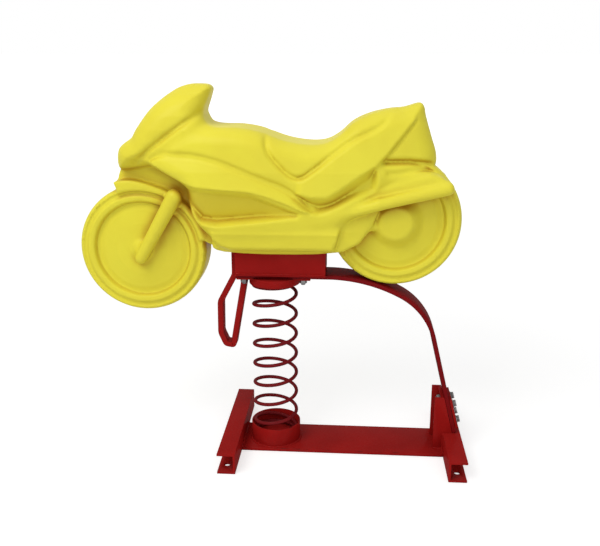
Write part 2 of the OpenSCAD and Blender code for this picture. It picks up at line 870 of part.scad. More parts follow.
front_cross_channel();
rear_cross_channel();
spine_plate();
lower_spring_cup();
leaf_foot_bracket();
leaf_foot_clamp();
leaf_foot_bolts();
leaf_foot_washers();
leaf_foot_nuts();
coil_spring();
leaf_spring();
upper_spring_cup();
leaf_bolts();
leaf_washers();
leaf_nuts();
platform_channel();
platform_base_plate();
platform_front_end();
platform_rear_end();
stop_loop();
stop_loop_bolts();
stop_loop_nuts();
body_bolts();
body_washers();
body_nuts();
body_insert();
shell_left();
shell_right();
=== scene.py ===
"""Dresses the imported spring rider: a moulded motorcycle on two springs over a steel base."""
import logging
import math
from dataclasses import dataclass
from enum import Enum

import bmesh
import bpy
import numpy as np
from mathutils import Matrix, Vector


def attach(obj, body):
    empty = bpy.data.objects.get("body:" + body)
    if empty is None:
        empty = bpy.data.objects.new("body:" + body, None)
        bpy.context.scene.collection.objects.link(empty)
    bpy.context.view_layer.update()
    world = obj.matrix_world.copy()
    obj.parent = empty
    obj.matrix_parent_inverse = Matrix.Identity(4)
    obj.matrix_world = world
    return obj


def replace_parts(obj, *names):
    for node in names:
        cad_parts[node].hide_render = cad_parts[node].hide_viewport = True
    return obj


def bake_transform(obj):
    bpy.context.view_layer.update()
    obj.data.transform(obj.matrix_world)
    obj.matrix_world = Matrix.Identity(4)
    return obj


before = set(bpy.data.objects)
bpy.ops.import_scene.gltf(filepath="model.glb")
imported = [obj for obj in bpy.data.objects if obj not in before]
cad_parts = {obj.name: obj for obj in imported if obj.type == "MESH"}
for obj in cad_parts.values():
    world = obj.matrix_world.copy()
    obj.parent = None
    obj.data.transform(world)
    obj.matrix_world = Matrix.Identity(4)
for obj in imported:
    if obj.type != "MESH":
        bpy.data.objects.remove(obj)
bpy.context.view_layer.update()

LOG = logging.getLogger("spring_rider")
MM = 0.001
UNIT = (0.0, 1.0)
# Steps of a smooth line between two of its points
CURVE_STEPS = 5
# How much finer a finish's grain is than its clouds
GRAIN_PER_CLOUD = 45.0

Pair = tuple[float, float]
Place = tuple[float, float, float]
Sizes = tuple[float, ...]
Colour = tuple[float, float, float, float]
Points = tuple[Pair, ...]
Names = tuple[str, ...]
Array = np.ndarray
Line = Array | tuple
Mesh = bpy.types.Mesh
Node = bpy.types.Node
Piece = bpy.types.Object
Socket = bpy.types.NodeSocket
Tree = bpy.types.NodeTree


class Slot(Enum):
    """The record's material slots."""

    SHELL = "yellow_shell"
    FRAME = "red_paint"
    LEAF = "leaf_paint"
    COIL = "coil_paint"
    ZINC = "zinc"


class Body(Enum):
    """The bodies that pieces ride on."""

    BASE = "base"
    SPRINGS = "springs"
    RIDER = "rider"


class Domain(Enum):
    """What a mesh's stored numbers count."""

    POINT = "POINT"
    FACE = "FACE"


def linear(*shade: int) -> Colour:
    """Turns a display colour into a linear one.

    Args:
        shade: red, green and blue from 0 to 255.

    Returns:
        The linear colour with full alpha.
    """
    return tuple(c / 255 / 12.92 if c <= 10 else ((c / 255 + 0.055) / 1.055) ** 2.4
                 for c in shade) + (1.0,)


# Shader groups and finishes


class Graph:
    """Adds nodes to one tree and links them."""

    def __init__(self, tree: Tree) -> None:
        """Keeps the tree that nodes are added to."""
        self.tree = tree

    def put(self, value: object, target: Socket) -> None:
        """Links a socket to an input, or sets the input's plain value.

        Args:
            value: a socket or a plain value.
            target: the input.
        """
        if isinstance(value, Socket):
            self.tree.links.new(value, target)
        else:
            target.default_value = value

    def add(self, kind: str, values: dict | None = None, **settings: object) -> Node:
        """Adds a node.

        Args:
            kind: the node's type without its ShaderNode prefix.
            values: plain values or sockets by input name or number.
            settings: properties of the node.

        Returns:
            The new node.
        """
        node = self.tree.nodes.new("ShaderNode" + kind)
        for key, value in settings.items():
            setattr(node, key, value)
        for key, value in (values or {}).items():
            self.put(value, node.inputs[key])
        return node

    def mix(self, factor: Socket, a: object, b: object) -> Socket:
        """Mixes two colours or colour sockets, from a at factor 0 to b at factor 1."""
        return self.add("Mix", {"Factor": factor, 6: a, 7: b}, data_type="RGBA").outputs[2]

    def math(self, operation: str, a: object, b: object) -> Socket:
        """Adds a math node on two numbers or sockets and returns its output."""
        return self.add("Math", {0: a, 1: b}, operation=operation).outputs[0]

    def remap(self, value: Socket, source: Pair, target: Pair) -> Socket:
        """Maps a value from one range to another, clamped, and returns the output."""
        ends = {1: source[0], 2: source[1], 3: target[0], 4: target[1]}
        return self.add("MapRange", {0: value} | ends).outputs[0]

    def noise(self, **values: object) -> Socket:
        """Adds a noise in the piece's own space and returns its value."""
        place = self.add("TexCoord").outputs["Object"]
        return self.add("TexNoise", {"Vector": place} | values).outputs["Fac"]


def new_group(name: str, inputs: Names, outputs: Names) -> tuple[Graph, Node, Node]:
    """Makes an empty shader group whose sockets are numbers.

    Args:
        name: the group's name.
        inputs: names of the inputs.
        outputs: names of the outputs.

    Returns:
        The group's graph, its input node and its output node.
    """
    tree = bpy.data.node_groups.new(name, "ShaderNodeTree")
    for way, labels in (("INPUT", inputs), ("OUTPUT", outputs)):
        for label in labels:
            tree.interface.new_socket(label, in_out=way, socket_type="NodeSocketFloat")
    return Graph(tree), tree.nodes.new("NodeGroupInput"), tree.nodes.new("NodeGroupOutput")


def mottle_group() -> Tree:
    """Builds cloudy unevenness over fine grain.

    Returns:
        A group with Scale in, and Cloud and Grain out.
    """
    graph, source, target = new_group("mottle", ("Scale",), ("Cloud", "Grain"))
    scale = source.outputs["Scale"]
    fine = graph.math("MULTIPLY", scale, GRAIN_PER_CLOUD)
    cloud = graph.noise(Scale=scale, Detail=4.0, Roughness=0.55)
    grain = graph.noise(Scale=fine, Detail=2.0, Roughness=0.5)
    cloud_range = (0.3, 0.7)
    graph.put(graph.remap(cloud, cloud_range, UNIT), target.inputs["Cloud"])
    graph.put(grain, target.inputs["Grain"])
    return graph.tree


def wear_group() -> Tree:
    """Builds broken-up wear along edges, and dust that gathers on faces that look up.

    Returns:
        A group with Edge and Amount in, and Worn and Dust out.
    """
    graph, source, target = new_group("wear", ("Edge", "Amount"), ("Worn", "Dust"))
    patch_range, speck_range, upward_range = (0.5, 0.62), (0.4, 0.75), (0.55, 1.0)
    patch = graph.noise(Scale=38.0, Detail=5.0, Roughness=0.65)
    speck = graph.noise(Scale=260.0, Detail=2.0)
    broken = graph.remap(patch, patch_range, UNIT)
    edge = graph.math("MULTIPLY", source.outputs["Edge"], broken)
    graph.put(graph.math("MULTIPLY", edge, source.outputs["Amount"]), target.inputs["Worn"])
    normal = graph.add("NewGeometry").outputs["Normal"]
    rise = graph.add("SeparateXYZ", {0: normal}).outputs["Z"]
    upward = graph.remap(rise, upward_range, UNIT)
    dusty = graph.remap(speck, speck_range, UNIT)
    graph.put(graph.math("MULTIPLY", upward, dusty), target.inputs["Dust"])
    return graph.tree


MOTTLE = mottle_group()
WEAR = wear_group()


@dataclass(frozen=True, kw_only=True)
class Finish:
    """A finish: its colours and gloss, and how clouds, wear and dust change them."""

    name: str
    base: Colour
    deep: Colour
    worn: Colour
    dust: Colour = linear(215, 205, 170)
    roughness: float = 0.42
    uneven: Pair
    worn_rough: float = 0.0
    cloud_scale: float
    cloud_share: float = 1.0
    wear_amount: float
    worn_share: float = 1.0
    dust_share: float = 0.0
    grain: float
    grain_height: float
    chip_depth: float = 0.0
    metallic: float = 0.0
    specular: float = 0.5
    coat: float = 0.0
    coat_rough: float = 0.03

    def shaded(self, graph: Graph, colour: Socket) -> Socket:
        """The colour with painted shade of this finish's own, which is none here."""
        return colour

    def material(self) -> bpy.types.Material:
        """Builds the material round its Principled shader.

        Returns:
            The material.
        """
        material = bpy.data.materials.new(self.name)
        material.use_nodes = True
        material.diffuse_color = self.base
        graph, shader = Graph(material.node_tree), material.node_tree.nodes["Principled BSDF"]
        mottle = graph.add("Group", {"Scale": self.cloud_scale}, node_tree=MOTTLE)
        edge = graph.add("Attribute", attribute_name="edge").outputs["Fac"]
        wear = graph.add("Group", {"Edge": edge, "Amount": self.wear_amount}, node_tree=WEAR)
        cloud, worn = mottle.outputs["Cloud"], wear.outputs["Worn"]

        def share(value: Socket, part: float) -> Socket:
            """Takes a part of a value."""
            return graph.math("MULTIPLY", value, part)

        colour = graph.mix(share(cloud, self.cloud_share), self.base, self.deep)
        colour = self.shaded(graph, colour)
        colour = graph.mix(share(worn, self.worn_share), colour, self.worn)
        colour = graph.mix(share(wear.outputs["Dust"], self.dust_share), colour, self.dust)
        less, more = self.uneven
        rough = graph.remap(cloud, UNIT, (self.roughness - less, self.roughness + more))
        rough = graph.math("ADD", rough, share(worn, self.worn_rough))
        height = graph.math("SUBTRACT", mottle.outputs["Grain"], share(worn, self.chip_depth))
        bump = graph.add(
            "Bump", {"Strength": self.grain, "Distance": self.grain_height, "Height": height})
        for key, value in {
                "Base Color": colour, "Roughness": rough, "Normal": bump.outputs["Normal"],
                "Metallic": self.metallic, "Specular IOR Level": self.specular,
                "Coat Weight": self.coat, "Coat Roughness": self.coat_rough}.items():
            graph.put(value, shader.inputs[key])
        return material


@dataclass(frozen=True, kw_only=True)
class MouldedPlastic(Finish):
    """Rotation-moulded plastic with painted shade in its recesses, rubbed pale along its edges."""

    uneven: Pair = (0.05, 0.08)
    worn_rough: float = 0.15
    cloud_scale: float = 7.0
    cloud_share: float = 0.16
    wear_amount: float = 0.35
    worn_share: float = 0.6
    dust_share: float = 0.05
    grain: float = 0.12
    grain_height: float = 0.0006
    specular: float = 0.04
    coat: float = 0.12
    coat_rough: float = 0.3

    def shaded(self, graph: Graph, colour: Socket) -> Socket:
        """The colour with painted shade, darker towards the deep colour in the recesses."""
        # Painted shade: the stored occlusion value darkens recesses and creases towards the deep
        # colour
        painted_shade = graph.add("Attribute", attribute_name="painted_shade").outputs["Fac"]
        return graph.mix(painted_shade, colour, self.deep)


@dataclass(frozen=True, kw_only=True)
class GlossPaint(Finish):
    """Enamel on steel with orange peel, chipped to primer along its edges."""

    dust: Colour = linear(196, 170, 158)
    uneven: Pair = (0.06, 0.1)
    worn_rough: float = 0.3
    cloud_scale: float = 11.0
    cloud_share: float = 0.45
    wear_amount: float = 0.75
    dust_share: float = 0.02
    grain: float = 0.16
    grain_height: float = 0.0005
    chip_depth: float = 0.8
    specular: float = 0.0
    coat: float = 0.06
    coat_rough: float = 0.2


@dataclass(frozen=True, kw_only=True)
class ZincPlate(Finish):
    """Zinc-plated steel with a cloudy bloom, rubbed bright along its edges."""

    uneven: Pair = (0.1, 0.12)
    cloud_scale: float = 60.0
    wear_amount: float = 0.6
    grain: float = 0.1
    grain_height: float = 0.0002
    metallic: float = 1.0


FINISHES = {
    # The shell's deep colour serves both its clouds and the painted shade in its recesses
    Slot.SHELL: MouldedPlastic(
        name="yellow_moulded_plastic", base=linear(229, 219, 66), deep=linear(182, 140, 30),
        worn=linear(240, 232, 130)),
    Slot.FRAME: GlossPaint(
        name="red_enamel", base=linear(156, 26, 24), deep=linear(122, 16, 15),
        worn=linear(64, 26, 24), roughness=0.44),
    Slot.LEAF: GlossPaint(
        name="red_enamel_leaf", base=linear(126, 18, 22), deep=linear(98, 11, 15),
        worn=linear(58, 26, 26)),
    Slot.COIL: GlossPaint(
        name="red_enamel_coil", base=linear(118, 26, 30), deep=linear(88, 17, 21),
        worn=linear(70, 44, 44)),
    Slot.ZINC: ZincPlate(
        name="zinc_plate", base=linear(128, 126, 126), deep=linear(90, 88, 90),
        worn=linear(225, 225, 228)),
}
MATERIALS = {slot: finish.material() for slot, finish in FINISHES.items()}


# Mesh helpers


def new_mesh(name: str, verts: Array, faces: list | Array) -> Mesh:
    """Makes a mesh.

    Args:
        name: the mesh's name.
        verts: points in metres.
        faces: corner numbers of each face.

    Returns:
        The mesh.
    """
    mesh = bpy.data.meshes.new(name)
    mesh.from_pydata(np.asarray(verts, float).tolist(), [], [list(map(int, f)) for f in faces])
    return mesh


def store(mesh: Mesh, name: str, values: Array, domain: Domain) -> None:
    """Stores one number for each point or face of a mesh."""
    layer = mesh.attributes.new(name, "FLOAT", domain.value)
    layer.data.foreach_set("value", np.asarray(values, np.float32))


def dressed(mesh: Mesh, slot: Slot, edge: Array, domain: Domain = Domain.POINT,
            sharp: float | None = None) -> Piece:
    """Makes a smooth-shaded object of a mesh, with its finish and its worn edges.

    Args:
        mesh: the mesh, whose name the object takes.
        slot: the material slot.
        edge: how much of a worn edge each point or face is, from 0 to 1.
        domain: whether edge counts points or faces.
        sharp: angle in degrees from which edges stay sharp, if any do.

    Returns:
        The object, linked to the scene.
    """
    mesh.polygons.foreach_set("use_smooth", [True] * len(mesh.polygons))
    if sharp is not None:
        mesh.set_sharp_from_angle(angle=math.radians(sharp))
    mesh.materials.append(MATERIALS[slot])
    mesh.update()
    store(mesh, "edge", edge, domain)
    obj = bpy.data.objects.new(mesh.name, mesh)
    bpy.context.scene.collection.objects.link(obj)
    return obj


def tangents(line: Array) -> Array:
    """Unit directions along a line of points."""
    step = np.gradient(line, axis=0)
    return step / np.linalg.norm(step, axis=1)[:, None]


def ring_faces(rings: int, sides: int) -> list[tuple[int, ...]]:
    """Faces between rings of points that follow each other."""
    return [(i * sides + k, i * sides + (k + 1) % sides,
             (i + 1) * sides + (k + 1) % sides, (i + 1) * sides + k)
            for i in range(rings - 1) for k in range(sides)]


def swept_tube(path: Array, radii: Array, sides: int) -> tuple[Array, list]:
    """Sweeps a round section along a path, with domed ends.

    Args:
        path: points of the centre line.
        radii: radius at each point.
        sides: points round the section.

    Returns:
        Points and faces.
    """
    dome, steep = 0.25, 0.9
    along = tangents(path)
    side = np.zeros_like(path)
    start = np.array([0.0, 0.0, 1.0] if abs(along[0][2]) < steep else [1.0, 0.0, 0.0])
    v = start - along[0] * (start @ along[0])
    for i, t in enumerate(along):
        v = v - t * (v @ t)
        v = v / np.linalg.norm(v)
        side[i] = v
    other = np.cross(along, side)
    turn = np.linspace(0, 2 * np.pi, sides, endpoint=False)[None, :, None]
    ring = side[:, None, :] * np.cos(turn) + other[:, None, :] * np.sin(turn)
    verts = (path[:, None, :] + radii[:, None, None] * ring).reshape(-1, 3)
    verts = np.vstack([verts, path[0] - along[0] * radii[0] * dome,
                       path[-1] + along[-1] * radii[-1] * dome])
    faces = ring_faces(len(path), sides)
    last = (len(path) - 1) * sides
    for k in range(sides):
        faces.append((len(verts) - 2, (k + 1) % sides, k))
        faces.append((len(verts) - 1, last + k, last + (k + 1) % sides))
    return verts, faces


def bent_strip(line: Array, width: float, thick: float, edge: float) -> tuple[Array, list, Array]:
    """Bends a flat strip with rolled edges along a line in X and Z.

    Args:
        line: the strip's centre line.
        width: width across Y.
        thick: thickness.
        edge: radius of the rolled edges.

    Returns:
        Points, faces, and 1 for each point on a rolled edge, else 0.
    """
    along = tangents(line)
    up = np.stack([-along[:, 1], along[:, 0]], 1)
    half, t = width / 2, thick / 2
    corner = [(half - edge + edge * math.cos(a), t - edge + edge * math.sin(a))
              for a in np.radians(np.linspace(0, 90, 4))]
    section = corner + [(-y, z) for y, z in corner[::-1]]
    section += [(-y, -z) for y, z in corner] + [(y, -z) for y, z in corner[::-1]]
    n, rings = len(section), len(line)
    verts = np.array([(p[0] + u[0] * z, y, p[1] + u[1] * z)
                      for p, u in zip(line, up) for y, z in section])
    faces = ring_faces(rings, n)
    faces += [tuple(range(n - 1, -1, -1)), tuple(range((rings - 1) * n, rings * n))]
    rolled = [abs(abs(y) - half) < edge and abs(abs(z) - t) < edge for y, z in section]
    return verts, faces, np.tile(np.array(rolled, float), rings)


def cut_corners(line: Points, reach: float, rounds: int = 3) -> Array:
    """Rounds the corners of a line by cutting them again and again.

    Args:
        line: the line's points.
        reach: how far from a corner the bend begins.
        rounds: how often the corners are cut.

    Returns:
        The rounded line, with its ends kept.
    """
    most, near, far = 0.4, 0.75, 0.25
    p = np.array(line, float)
    rows = [p[0]]
    for a, b, c in zip(p, p[1:], p[2:]):
        before, after = (b + (end - b) * min(reach / np.linalg.norm(end - b), most)
                         for end in (a, c))
        rows += [before, b, after]
    p = np.vstack(rows + [p[-1]])
    for _ in range(rounds):
        cuts = np.stack([near * p[:-1] + far * p[1:], far * p[:-1] + near * p[1:]], 1)
        p = np.vstack([p[0], cuts.reshape(-1, 2), p[-1]])
    return p


def smooth_line(points: Points, closed: bool = True) -> Array:
    """Runs a smooth curve through points.

    Args:
        points: the points to pass through.
        closed: whether the curve comes back to its start.

    Returns:
        The curve's points.
    """
    p = np.asarray(points, float)
    n = len(p)
    rows = []
    for i in range(n if closed else n - 1):
        pick = [(i + k) % n if closed else min(max(i + k, 0), n - 1) for k in (-1, 0, 1, 2)]
        a, b, c, d = p[pick]
        square, cube = 2 * a - 5 * b + 4 * c - d, 3 * b - a - 3 * c + d
        for t in np.arange(CURVE_STEPS) / CURVE_STEPS:
            rows.append(0.5 * (2 * b + (c - a) * t + square * t ** 2 + cube * t ** 3))
    if not closed:
        rows.append(p[-1])
    return np.array(rows)


# Forms in the side view


def line_distance(x: Array, z: Array, line: Line, closed: bool = False) -> Array:
    """Distance from each place to a line of points.

    Args:
        x: places along X.
        z: places along Z.
        line: the line's points.
        closed: whether the last point joins the first.

    Returns:
        The distances.
    """
    line = np.asarray(line, float)
    best = np.full(x.shape, 1e9, np.float32)
    ends = np.roll(line, -1, axis=0) if closed else line[1:]
    for (ax, az), (bx, bz) in zip(line, ends):
        ex, ez = bx - ax, bz - az
        t = np.clip(((x - ax) * ex + (z - az) * ez) / (ex * ex + ez * ez + 1e-9), 0, 1)
        best = np.minimum(best, (x - ax - t * ex) ** 2 + (z - az - t * ez) ** 2)
    return np.sqrt(best)


def area_distance(x: Array, z: Array, outline: Line) -> Array:
    """Distance from each place to a closed outline.

    Args:
        x: places along X.
        z: places along Z.
        outline: the outline's points.

    Returns:
        The distances, below zero inside the outline.
    """
    outline = np.asarray(outline, float)
    inside = np.zeros(x.shape, bool)
    for (ax, az), (bx, bz) in zip(outline, np.roll(outline, -1, axis=0)):
        cross = (az > z) != (bz > z)
        inside ^= cross & (x < (bx - ax) * (z - az) / (bz - az + 1e-12) + ax)
    distance = line_distance(x, z, outline, True)
    return np.where(inside, -distance, distance)


def ramp(low: float, high: float, value: Array) -> Array:
    """A smooth step from 0 at low to 1 at high."""
    t = np.clip((value - low) / (high - low), 0, 1)
    return t * t * (3 - 2 * t)


def bell(distance: Array, size: Pair) -> Array:
    """A soft groove's depth at a distance from its line; size is its depth and its reach."""
    return size[0] * np.exp(-(distance / size[1]) ** 2)


def fall(x: Array, z: Array, top: Array, low: Array) -> Array:
    """How far down each place lies from an upper line to a lower one.

    Args:
        x: places along X.
        z: places along Z.
        top: points of the upper line.
        low: points of the lower line.

    Returns:
        The shares, from 0 at the upper line to 1 at the lower one.
    """
    least_fall = 4
    high, floor = (np.interp(x, line[:, 0], line[:, 1]) for line in (top, low))
    return np.clip((high - z) / np.maximum(high - floor, least_fall), 0, 1)


def rounded_meet(a: Array, b: Array, r: Array) -> Array:
    """What lies in both forms, with their common edge rounded by r."""
    return np.minimum(np.maximum(a, b), -r) + np.hypot(np.maximum(a + r, 0), np.maximum(b + r, 0))


def soft_join(a: Array, b: Array, k: float) -> Array:
    """Two forms joined with a fillet of about k."""
    h = np.clip(0.5 + 0.5 * (b - a) / k, 0, 1)
    return b * (1 - h) + a * h - k * h * (1 - h)


def net_surface(values: Array, start: Array, step: float) -> tuple[Array, Array]:
    """Meshes the zero level of a grid of values with quads.

    Args:
        values: values on the grid, below zero inside.
        start: the grid's first corner.
        step: the grid's step.

    Returns:
        Points and quads.
    """
    inside = values < 0
    corners = [(i, j, k) for i in (0, 1) for j in (0, 1) for k in (0, 1)]
    count = sum(inside[i:i - 1 or None, j:j - 1 or None, k:k - 1 or None].astype(np.int8)
                for i, j, k in corners)
    cells = np.argwhere((count > 0) & (count < 8))
    number = np.full(count.shape, -1, np.int32)
    number[tuple(cells.T)] = np.arange(len(cells))
    total, hits = np.zeros((len(cells), 3)), np.zeros(len(cells))
    for a in corners:
        for b in corners:
            if sum(b) - sum(a) == 1 and all(q >= p for p, q in zip(a, b)):
                va, vb = (values[tuple((cells + c).T)] for c in (a, b))
                cut = (va < 0) != (vb < 0)
                t = np.where(cut, va / np.where(cut, va - vb, 1), 0)
                total += cut[:, None] * (np.array(a) + t[:, None] * (np.array(b) - np.array(a)))
                hits += cut
    verts = start + step * (cells + total / hits[:, None])
    quads = []
    for axis in range(3):
        low, high = [slice(1, -1)] * 3, [slice(1, -1)] * 3
        low[axis], high[axis] = slice(None, -1), slice(1, None)
        first, second = inside[tuple(low)], inside[tuple(high)]
        u, v = (axis + 1) % 3, (axis + 2) % 3
        for out, mask in ((True, first & ~second), (False, ~first & second)):
            spot, ring = np.argwhere(mask), []
            for du, dv in ((0, 0), (1, 0), (1, 1), (0, 1)):
                cell = spot.copy()
                cell[:, u] += du
                cell[:, v] += dv
                ring.append(number[tuple(cell.T)])
            quad = np.stack(ring, axis=1)
            quads.append(quad if out else quad[:, ::-1])
    return verts, np.vstack(quads)


@dataclass(frozen=True, kw_only=True)
class Form:
    """One form of the moulding, in millimetres above the flat belly.

    Its edges are rounded by edge, which changes by low_edge from the first height of low_span to
    the second, and join is its fillet to the forms before it.
    """

    outline: Points = ()
    curved: bool = True
    half: float
    edge: float
    low_edge: float = 0.0
    low_span: Pair = (1.0, 0.0)
    join: float = 0.0

    def distance(self, x: Array, z: Array) -> Array:
        """Distance to the form's side outline, below zero inside it."""
        return area_distance(x, z, smooth_line(self.outline) if self.curved else self.outline)

    def width(self, x: Array, z: Array) -> Array:
        """The form's half width at each place."""
        return np.full_like(x, self.half)

    def rounding(self, x: Array, z: Array) -> Array:
        """Radius of the form's edges at each place."""
        return self.edge + self.low_edge * ramp(*self.low_span, z)

    def solid(self, x: Array, y: Array, z: Array) -> Array:
        """The form as values on the grid.

        Args:
            x: places along X.
            y: places along Y.
            z: heights above the belly.

        Returns:
            The values, below zero inside.
        """
        most_round, least_half = 0.8, 2
        gx, gz = np.meshgrid(x, z, indexing="ij")
        width = self.width(gx, gz)
        r = np.minimum(np.asarray(self.rounding(gx, gz), np.float32),
                       most_round * np.maximum(width, least_half))
        across = np.abs(y)[None, :, None] - width[:, None, :]
        flat = self.distance(gx, gz)[:, None, :]
        return rounded_meet(*(part.astype(np.float32) for part in (flat, across, r[:, None, :])))


@dataclass(frozen=True, kw_only=True)
class Trunk(Form):
    """Fairing, tank, seat and tail, with their bands, panels and grooves.

    A span is the distance to an outline at which a panel begins and the one at which it is full,
    a fade runs between two places, and a groove is its depth and its reach.
    """

    half: float = 106.0
    edge: float = 38.0
    low_edge: float = -30.0
    low_span: Pair = (60.0, 0.0)
    inset: float = 2.0
    waist: float = 185.0
    waist_lean: float = 0.17
    tuck: float = 12.0
    tuck_top: float = 110.0
    turn_in: float = 0.5
    turn_top: float = 50.0
    outline: Points = (
        (-106, 0), (-136, 34), (-165, 66), (-184, 108), (-192, 150), (-240, 180), (-284, 204),
        (-268, 222), (-226, 256), (-186, 277), (-150, 280), (-110, 278), (-70, 277), (-26, 269),
        (30, 250), (80, 242), (118, 245), (148, 261), (178, 288), (212, 305), (253, 316),
        (288, 320), (320, 329), (331, 321), (336, 300), (350, 256), (361, 222), (361, 196),
        (346, 182), (322, 174), (280, 152), (235, 128), (195, 95), (166, 50), (142, 0))
    shares: Points = (
        (-360, 0.60), (-330, 0.74), (-300, 0.83), (-255, 0.90), (-210, 0.95), (-165, 0.98),
        (-110, 1.0), (-30, 1.0), (30, 0.97), (95, 0.95), (140, 0.92), (192, 0.85), (235, 0.77),
        (280, 0.67), (322, 0.56), (362, 0.46))
    band_top: Points = (
        (-266, 207), (-240, 220), (-205, 219), (-166, 217), (-115, 206), (-64, 187), (-12, 167),
        (39, 145), (91, 100))
    band_low: Points = ((-261, 198), (-186, 157), (-117, 147), (-40, 141), (22, 122), (76, 99))
    band_span: Pair = (2.0, -5.0)
    band_rise: float = 15.0
    band_inset: float = 6.0
    band_groove: Pair = (6.5, 6.0)
    band_groove_shift: Pair = (1.0, 3.0)
    lower_panel: Points = (
        (-200, 156), (-118, 146), (-41, 140), (73, 98), (60, 86), (-32, 76), (-120, 66),
        (-160, 70), (-190, 108))
    lower_span: Pair = (3.0, -13.0)
    lower_depth: float = 9.0
    lower_slope: float = 0.33
    lower_top: float = 150.0
    lower_height: float = 90.0
    lower_fade: float = 0.6
    lower_fade_span: Pair = (-30.0, 60.0)
    seat: Points = (
        (-13, 300), (-11, 262), (-2, 226), (36, 185), (63, 174), (90, 188), (130, 219),
        (176, 252), (246, 290), (240, 340))
    seat_span: Pair = (3.0, -7.0)
    seat_depth: float = 3.0
    seat_groove: Pair = (8.0, 5.4)
    seat_groove_fade: Pair = (330.0, 250.0)
    hollow: Points = (
        (58, 138), (90, 129), (125, 129), (160, 150), (200, 178), (229, 195), (229, 147),
        (180, 124), (117, 96), (92, 100))
    hollow_span: Pair = (4.0, -18.0)
    hollow_depth: float = 19.0
    flare_end: Pair = (318.0, 322.0)
    flare_span: Pair = (4.0, -9.0)
    flare_rise: float = 9.0
    lamp: Points = ((250, 214), (312, 290))
    lamp_groove: Pair = (4.5, 4.0)
    tail_grooves: tuple[tuple[Points, Pair], ...] = (
        (((249, 207), (300, 206), (346, 200)), (13.0, 7.0)), (((258, 182), (330, 178)), (5.0, 7.0)))

    def width(self, x: Array, z: Array) -> Array:
        """Half width of the trunk with everything pressed into it.

        Args:
            x: places along X.
            z: heights above the belly.

        Returns:
            The half width at each place.
        """
        width = self.half * np.interp(x, *np.transpose(self.shares)) - self.inset
        width = (width - self.waist_lean * np.maximum(z - self.waist, 0)
                 - self.tuck * ramp(self.tuck_top, 0, z)
                 - self.turn_in * np.maximum(self.turn_top - z, 0))
        top, low = (smooth_line(line, closed=False) for line in (self.band_top, self.band_low))
        band = ramp(*self.band_span, area_distance(x, z, np.vstack([top, low[::-1]])))
        width += band * (self.band_rise * fall(x, z, top, low) - self.band_inset)
        width -= bell(line_distance(x, z, top + self.band_groove_shift), self.band_groove)
        lower = ramp(*self.lower_span, area_distance(x, z, self.lower_panel))
        below = np.clip(self.lower_top - z, 0, self.lower_height)
        fade = 1 - self.lower_fade * ramp(*self.lower_fade_span, x)
        width -= lower * (self.lower_depth + self.lower_slope * below) * fade
        seat = area_distance(x, z, smooth_line(self.seat))
        width -= (self.seat_depth * ramp(*self.seat_span, seat)
                  + bell(seat, self.seat_groove) * ramp(*self.seat_groove_fade, z))
        over = np.array(self.seat[4:9] + (self.flare_end,), float)
        under = np.array(self.hollow[:6] + self.lamp, float)
        flare = ramp(*self.flare_span, area_distance(x, z, np.vstack([over, under[::-1]])))
        width += self.flare_rise * fall(x, z, over, under) * flare
        hollow = area_distance(x, z, smooth_line(self.hollow))
        width -= self.hollow_depth * ramp(*self.hollow_span, hollow)
        for line, groove in ((self.lamp, self.lamp_groove), *self.tail_grooves):
            width -= bell(line_distance(x, z, line), groove)
        return width


@dataclass(frozen=True, kw_only=True)
class Screen(Form):
    """The windscreen and nose, with a crease along their lower edge."""

    half: float = 84.0
    edge: float = 46.0
    join: float = 7.0
    outline: Points = (
        (-346, 188), (-345, 214), (-339, 231), (-325, 243), (-311, 253), (-302, 268), (-287, 290),
        (-269, 313), (-250, 331), (-229, 347), (-207, 360), (-184, 367), (-160, 368), (-142, 366),
        (-134, 357), (-139, 341), (-148, 318), (-150, 302), (-142, 286), (-122, 272), (-112, 240),
        (-190, 206), (-282, 188), (-334, 180))
    insets: Points = ((170, 18), (210, 4), (243, 0), (272, 0), (302, 5), (324, 12), (346, 23),
                      (361, 34), (370, 42))
    crease: Points = ((-302, 198), (-262, 232), (-222, 262), (-183, 289), (-132, 322))
    crease_groove: Pair = (8.0, 7.0)

    def width(self, x: Array, z: Array) -> Array:
        """Half width by height, less the crease.

        Args:
            x: places along X.
            z: heights above the belly.

        Returns:
            The half width at each place.
        """
        heights, insets = np.transpose(self.insets)
        crease = bell(line_distance(x, z, self.crease), self.crease_groove)
        return np.interp(z, heights, self.half - insets) - crease


@dataclass(frozen=True, kw_only=True)
class BellyPan(Form):
    """The belly pan: an upright side under a sloping top."""

    curved: bool = False
    half: float = 94.0
    edge: float = 5.0
    low_edge: float = 9.0
    low_span: Pair = (40.0, 10.0)
    join: float = 9.0
    outline: Points = (
        (-133, 60), (-126, 78), (-67, 88), (94, 106), (140, 96), (152, 60), (142, 8), (-92, 8),
        (-112, 16), (-130, 34))
    side_top: float = 50.0
    slopes: Points = ((-130, 1.1), (94, 0.66))
    turn_in: float = 0.15

    def width(self, x: Array, z: Array) -> Array:
        """Half width, less above and below the side's top."""
        slope = np.interp(x, *np.transpose(self.slopes))
        return (self.half - slope * np.maximum(z - self.side_top, 0)
                - self.turn_in * np.maximum(self.side_top - z, 0))


@dataclass(frozen=True, kw_only=True)
class FootGuard(Form):
    """The guard behind the belly pan, widest at its middle."""

    curved: bool = False
    half: float = 76.0
    edge: float = 9.0
    join: float = 5.0
    outline: Points = (
        (100, 70), (170, 92), (236, 112), (240, 100), (226, 66), (196, 24), (160, 6), (120, 2))
    middle: float = 150.0
    taper: float = 0.12

    def width(self, x: Array, z: Array) -> Array:
        """Half width, less away from the middle."""
        return self.half - self.taper * np.abs(x - self.middle)


FRONT_AXLE = (-302.0, -3.0)


